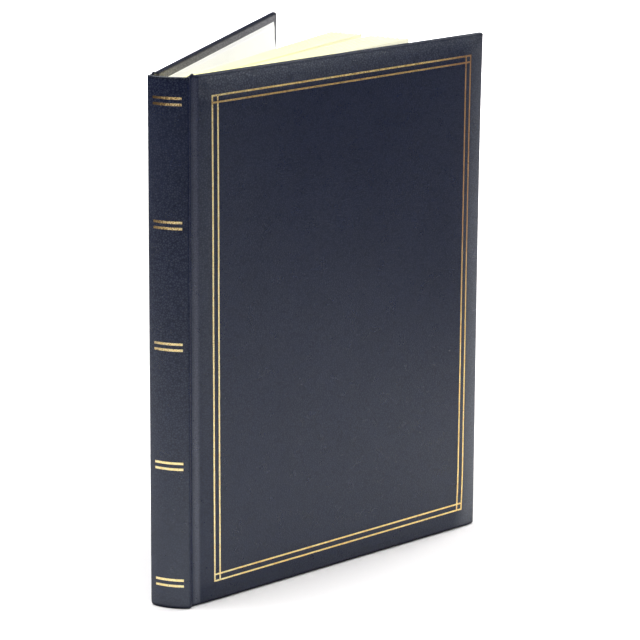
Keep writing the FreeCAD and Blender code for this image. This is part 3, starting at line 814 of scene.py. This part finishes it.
def cover_core(side, opening):
    """Board and foam under the leatherette of a cover."""
    body = "front_cover" if side > 0 else "back_cover"
    word = "front" if side > 0 else "back"

    def grid(v, z, low, high):
        V, Z = np.meshgrid(v, z, indexing="ij")
        ez, ev = np.minimum(Z, TALL - Z) - 1.0, np.minimum(V1 - V, V - V0 + 0.4) - 1.0
        rc = 1.6
        ca, cb = np.clip((rc - ev) / rc, 0, 1), np.clip((rc - ez) / rc, 0, 1)
        dv, dz = ca * (1 - np.sqrt(1 - cb * cb / 2)) * rc, cb * (1 - np.sqrt(1 - ca * ca / 2)) * rc
        lean = bow(V, Z) if side > 0 else 0.0
        V2 = V + np.where(V > 100, -dv, dv)
        Z2 = Z + np.where(Z > TALL / 2, -dz, dz)
        out = []
        for u in (high(V, Z), low(V, Z)):
            x, y = turned(AX + u - lean, AY + V2, opening)
            out.append(np.stack([side * x, y, Z2], 2))
        return out, np.stack([V, Z], 2)

    rim = [1.0, 1.15, 1.5, 2.0, 2.6, 4.0, 6.0, 9.0, 14.0]
    v = filled(merged([V0 - 0.4 + e for e in rim] + [V1 - e for e in rim]), 12.0)
    z = filled(merged(rim + [TALL - e for e in rim]), 12.0)
    (top, low), flat = grid(v, z, lambda V, Z: np.full(V.shape, -0.38), lambda V, Z: np.full(V.shape, 1.95))
    s = Shape()
    s.slab(top, low, flat, flat + 400, flip=side < 0)
    ob = s.build(word + "_greyboard", BOARD)
    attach(ob, body)
    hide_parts(word + "_board")

    rim = [2.4, 2.6, 3.0, 3.6, 4.6, 6.0, 8.0, 10.5, 14.0, 18.0]
    v = filled(merged([V0 + e for e in rim] + [V1 - e for e in rim]), 10.0)
    z = filled(merged(rim + [TALL - e for e in rim]), 10.0)

    def upper(V, Z):
        ez, ev = np.minimum(Z, TALL - Z), np.minimum(V1 - V, V - V0)
        edge = np.clip((np.minimum(ez, ev) - 2.4) / 2.0, 0, 1)
        return 2.02 + np.maximum(crown(V, Z) - 0.22, 0.05) * np.sqrt(edge * (2 - edge)) + 0.04

    (top, low), flat = grid(v, z, lambda V, Z: np.full(V.shape, 1.98), upper)
    s = Shape()
    s.slab(top, low, flat, flat + 400, flip=side < 0)
    ob = s.build(word + "_foam_pad", FOAM)
    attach(ob, body)
    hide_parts(word + "_padding")


cover_core(1, FRONT)
cover_core(-1, BACK)


def pastedown(side, opening):
    """Endpaper half glued inside a cover, through the joint and onto the leaf block."""
    word = "front" if side > 0 else "back"
    z = filled([5.2, 5.5, 6.4, 9.0, 13.0, 16.0, 18.0, 20.0, 22.0, 283.0, 285.0, 287.0, 289.0, 292.0, 296.0, 298.6, 299.5, 299.8], 12.0)
    tab = np.array([(8.36, y) for y in (13.6, 11.5, 9.5, 7.6, 6.4)])
    bend = np.array([(8.38, 5.5), (8.44, 5.0), (8.56, 4.78), (8.68, 5.0), (8.715, 5.6), (8.72, 6.6)])
    vb = filled(merged([3.2, 5.0, 8.0, 12.0, 15.0, 204.0, 207.0, 210.0, 214.0, 218.0, 222.0, 222.6]), 12.0)
    flat_part = np.stack([np.full(len(vb), AX - 0.88), AY + vb], 1)
    line = np.vstack([tab, bend, flat_part])
    k0 = len(tab)
    k1 = len(tab) + len(bend)
    along = length_along(line)
    tangent = np.gradient(line, axis=0)
    tangent /= np.linalg.norm(tangent, axis=1)[:, None]
    normal = np.stack([tangent[:, 1], -tangent[:, 0]], 1)    # towards the board
    m = len(z)
    Z = np.broadcast_to(z, (len(line), m))
    v_here = line[:, 1] - AY
    is_board = (np.arange(len(line)) >= k1)
    share = np.clip((np.arange(len(line)) - k0 + 1) / (len(bend) + 1.0), 0, 1)
    w = ease(share)
    lean = np.zeros(Z.shape)
    if side > 0:
        lean = bow(v_here[:, None], Z) * is_board[:, None]
    ez = np.minimum(Z, TALL - Z)
    # the hidden edge of the turn-in shows through the paper as a low step
    over = np.maximum(ease((15.0 - ez) / 2.0), ease((v_here[:, None] - (V1 - 15.0)) / 2.0)) * is_board[:, None]
    lap = 0.10 * over * ease((v_here[:, None] - 8.0) / 8.0)
    # its two outer corners are trimmed, so that the mitre of the turn-ins shows
    trim = ease((v_here[:, None] - 205.0) / 17.0) * (2.3 * ease((21.5 - ez) / 5.0) + 2.0 * ease((10.0 - ez) / 5.0)) * is_board[:, None]
    grids = []
    for off in (0.0, 0.13):
        x = line[:, :1] + normal[:, :1] * off - lap - lean
        y = line[:, 1:] + normal[:, 1:] * off - trim
        x, y = turned(x + 0 * Z, y, (w * opening)[:, None])
        grids.append(np.stack([side * x, y, Z], 2))
    flat = np.stack([np.repeat(along[:, None], m, 1), Z], 2)
    s = Shape()
    s.slab(grids[0], grids[1], flat, flat + 400, flip=side > 0)
    ob = s.build(word + "_endpaper", ENDPAPER)
    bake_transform(ob)
    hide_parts(word + "_pastedown")


pastedown(1, FRONT)
pastedown(-1, BACK)


def hinged(x0, y0, t, v, angle):
    """Point of a leaf, t across it and v from its hinge line, turned by angle."""
    c, s = np.cos(np.radians(angle)), np.sin(np.radians(angle))
    return x0 + t * c + v * s, y0 - t * s + v * c


def cockle(v, z, k):
    """Slight unevenness of a standing sheet."""
    grow = ease(v / 60.0)
    return grow * (0.05 * np.sin(z / 47.0 + 1.7 * k) * np.sin(v / 61.0 + 0.9 * k) + 0.03 * np.sin(z / 21.0 + v / 33.0 + k))


def flyleaf(side):
    word = "front" if side > 0 else "back"
    z = filled([6.4, 6.8, 298.0, 298.4], 14.0)
    v = np.concatenate([[-5.0, -3.0, -1.6, -0.9, -0.4, 0.0, 0.4, 0.9, 1.6, 3.0], filled([6.0, 198.8, 199.2], 12.0)])
    V, Z = np.meshgrid(v, z, indexing="ij")
    angle = FLY[side] * ease((V + 0.9) / 1.8)
    grids = []
    for t in (0.09, -0.09):
        x, y = hinged(8.5, 14.3, t + cockle(V, Z, 3.0 + side) * 0.8, V, angle)
        grids.append(np.stack([side * x, y, Z], 2))
    flat = np.stack([V, Z], 2)
    s = Shape()
    s.slab(grids[0], grids[1], flat, flat + 400, flip=side < 0)
    ob = s.build(word + "_free_endpaper", ENDPAPER)
    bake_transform(ob)
    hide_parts(word + "_flyleaf")


flyleaf(1)
flyleaf(-1)


def leaf(k):
    """One stock leaf: card, linen hinge, glassine pockets on both faces and an interleaf."""
    angle = LEAVES[k - 1]
    body = "leaf_%02d" % k
    x0, y0 = 8.5 - k, 15.5

    def grid(v, z, high, low, bend=None):
        V, Z = np.meshgrid(v, z, indexing="ij")
        out = []
        for t in (high, low):
            t = t(V, Z) if callable(t) else t
            a = angle if bend is None else angle * bend(V)
            x, y = hinged(x0, y0, t + cockle(V, Z, k), V, a)
            out.append(np.stack([x, y, Z], 2))
        return out[0], out[1], np.stack([V, Z], 2)

    rim = [0.0, 0.06, 0.25]
    v = filled(merged([4.0 + e for e in rim] + [198.0 - e for e in rim] + [7.0, 7.25, 7.5]), 16.0)
    z = filled(merged([6.4 + e for e in rim] + [298.4 - e for e in rim]), 18.0)

    def half(V, Z):
        e = np.minimum(np.minimum(V - 4.0, 198.0 - V), np.minimum(Z - 6.4, 298.4 - Z))
        score = 0.06 * np.exp(-((V - 7.25) / 0.2) ** 2)
        return 0.2 - 0.08 * np.clip(1 - e / 0.25, 0, 1) ** 2 - score

    s = Shape()
    t, l, f = grid(v, z, half, lambda V, Z: -half(V, Z))
    s.slab(t, l, f, f + 400)
    ob = s.build(body + "_card", CARD)
    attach(ob, body)
    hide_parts(body)

    # linen hinge, from the stub to the leaf
    s = Shape()
    v = np.array([-2.6, -1.9, -1.3, -0.8, -0.4, 0.0, 0.4, 0.8, 1.4, 2.2, 3.2, 4.6])
    z = filled([6.4, 6.7, 298.1, 298.4], 8.0)
    t, l, f = grid(v, z, lambda V, Z: 0.09 + 0.015 * np.sin(Z * 1.9), lambda V, Z: -0.09 + 0.015 * np.sin(Z * 1.9 + 0.8),
                   lambda V: ease((V + 0.8) / 1.6))
    s.slab(t, l, f, f + 400)
    ob = s.build(body + "_linen", LINEN)
    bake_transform(ob)
    if k == 1:
        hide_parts("linen_hinges")

    # glassine: nine pockets a face, and one sheet over the front face
    s = Shape()
    v = filled([10.0, 10.6, 193.4, 194.0], 26.0)
    for row_no in range(9):
        zb = 15.4 + 31.5 * row_no
        z = np.array([zb, zb + 0.6, zb + 9.0, zb + 18.0, zb + 24.4, zb + 25.0])
        for face in (1, -1):
            def lift(V, Z, extra, face=face, zb=zb):
                free = ease((Z - zb - 4.0) / 20.0) * ease((V - 10.0) / 12.0) * ease((194.0 - V) / 12.0)
                return face * (0.215 + extra + 0.02 * free)
            t, l, f = grid(v, z, lambda V, Z: lift(V, Z, 0.05), lambda V, Z: lift(V, Z, 0.0))
            s.slab(t, l, f, f + 400, flip=face < 0)
    v = filled([4.0, 4.5, 196.5, 197.0], 26.0)
    z = filled([7.4, 7.9, 292.4, 292.9], 26.0)
    t, l, f = grid(v, z, lambda V, Z: 0.345 + 0 * V, lambda V, Z: 0.305 + 0 * V)
    s.slab(t, l, f, f + 800)
    ob = s.build(body + "_pockets", GLASSINE)
    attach(ob, body)
    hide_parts(body + "_glassine")


for k in range(1, 17):
    leaf(k)

# pieces of the model that show as they are
for name, material in (("leaf_stubs", CARD), ("spine_lining", MULL), ("wire_stitches", WIRE),
                       ("endpaper_folds", ENDPAPER), ("spine_board", BOARD)):
    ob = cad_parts[name]
    ob.data.materials.clear()
    ob.data.materials.append(material)

# ------------------------------------------------------------ floor and light

me = bpy.data.meshes.new("floor")
me.from_pydata([(-9, -9, 0), (9, -9, 0), (9, 9, 0), (-9, 9, 0)], [], [(0, 1, 2, 3)])
floor = bpy.data.objects.new("floor", me)
bpy.context.scene.collection.objects.link(floor)
floor.location.z = -0.0002
m, nt, sh = surface("studio_floor")
nt.links.new(ramp(nt, noise(nt, solid_map(nt, (3, 3, 3)), 2.0, 2.0), [(0.3, (0.872, 0.860, 0.862)), (0.7, (0.892, 0.880, 0.882))]),
             sh.inputs["Base Color"])
sh.inputs["Roughness"].default_value = 0.9
sh.inputs["Specular IOR Level"].default_value = 0.2
me.materials.append(m)


def softbox(name, at, target, wide, tall, watts, colour=(1, 1, 1), spread=180.0):
    d = bpy.data.lights.new(name, "AREA")
    d.shape = "RECTANGLE"
    d.size, d.size_y, d.energy, d.color = wide, tall, watts, colour
    d.spread = math.radians(spread)
    ob = bpy.data.objects.new(name, d)
    bpy.context.scene.collection.objects.link(ob)
    a, b = np.array(at, float), np.array(target, float)
    back = (a - b) / np.linalg.norm(a - b)
    up = np.array([0, 1, 0.0]) if abs(back[2]) > 0.95 else np.array([0, 0, 1.0])
    right = np.cross(up, back)
    right /= np.linalg.norm(right)
    up = np.cross(back, right)
    ob.matrix_world = Matrix(((right[0], up[0], back[0], a[0]), (right[1], up[1], back[1], a[1]),
                              (right[2], up[2], back[2], a[2]), (0, 0, 0, 1)))
    return ob


softbox("left_light", (-0.45, -0.15, 1.05), (-0.25, -0.10, 0.0), 0.7, 0.7, 9.9)
softbox("front_light", (0.0, -0.55, 1.05), (0.0, -0.30, 0.0), 0.7, 0.7, 2.9)
softbox("overhead_light", (-0.05, 0.0, 1.10), (-0.05, 0.0, 0.0), 0.9, 0.9, 7.7)
softbox("ground_light", (-1.9, 1.5, 1.2), (0.0, 1.62, 0.0), 0.5, 0.9, 34, spread=62.0)
softbox("inside_light", (0.65, 1.05, 1.25), (0.0, 0.05, 0.25), 1.0, 1.0, 5.7, spread=70.0)
softbox("right_light", (1.8, 0.45, 0.62), (0.05, 0.0, 0.28), 0.9, 0.35, 0.14, spread=40.0)

world = bpy.data.worlds.new("studio")
bpy.context.scene.world = world
world.use_nodes = True
world.node_tree.nodes["Background"].inputs["Color"].default_value = (1, 1, 1, 1)
world.node_tree.nodes["Background"].inputs["Strength"].default_value = 0.02

# --------------------------------------------------------------------- camera

az, el, rl = math.radians(17.75), math.radians(14.875), math.radians(0.42)
back = np.array([math.sin(az) * math.cos(el), -math.cos(az) * math.cos(el), math.sin(el)])
right = np.array([math.cos(az), math.sin(az), 0.0])
up = np.cross(back, right)
cx = right * math.cos(rl) + up * math.sin(rl)
cy = -right * math.sin(rl) + up * math.cos(rl)
at = put([np.array([0, 0, 152.5]) + right * 83.40 + np.array([0, 0, 16.38]) + back * 1680.0])[0]
cam = bpy.data.cameras.new("camera")
cam.sensor_width = 36.0
cam.lens = 3036.5 / 640.0 * 36.0
cam.clip_start, cam.clip_end = 0.05, 60.0
camera = bpy.data.objects.new("camera", cam)
bpy.context.scene.collection.objects.link(camera)
camera.matrix_world = Matrix(((cx[0], cy[0], back[0], at[0]), (cx[1], cy[1], back[1], at[1]),
                              (cx[2], cy[2], back[2], at[2]), (0, 0, 0, 1)))
bpy.context.scene.camera = camera
bpy.context.scene.view_settings.view_transform = "Standard"

bpy.context.view_layer.update()
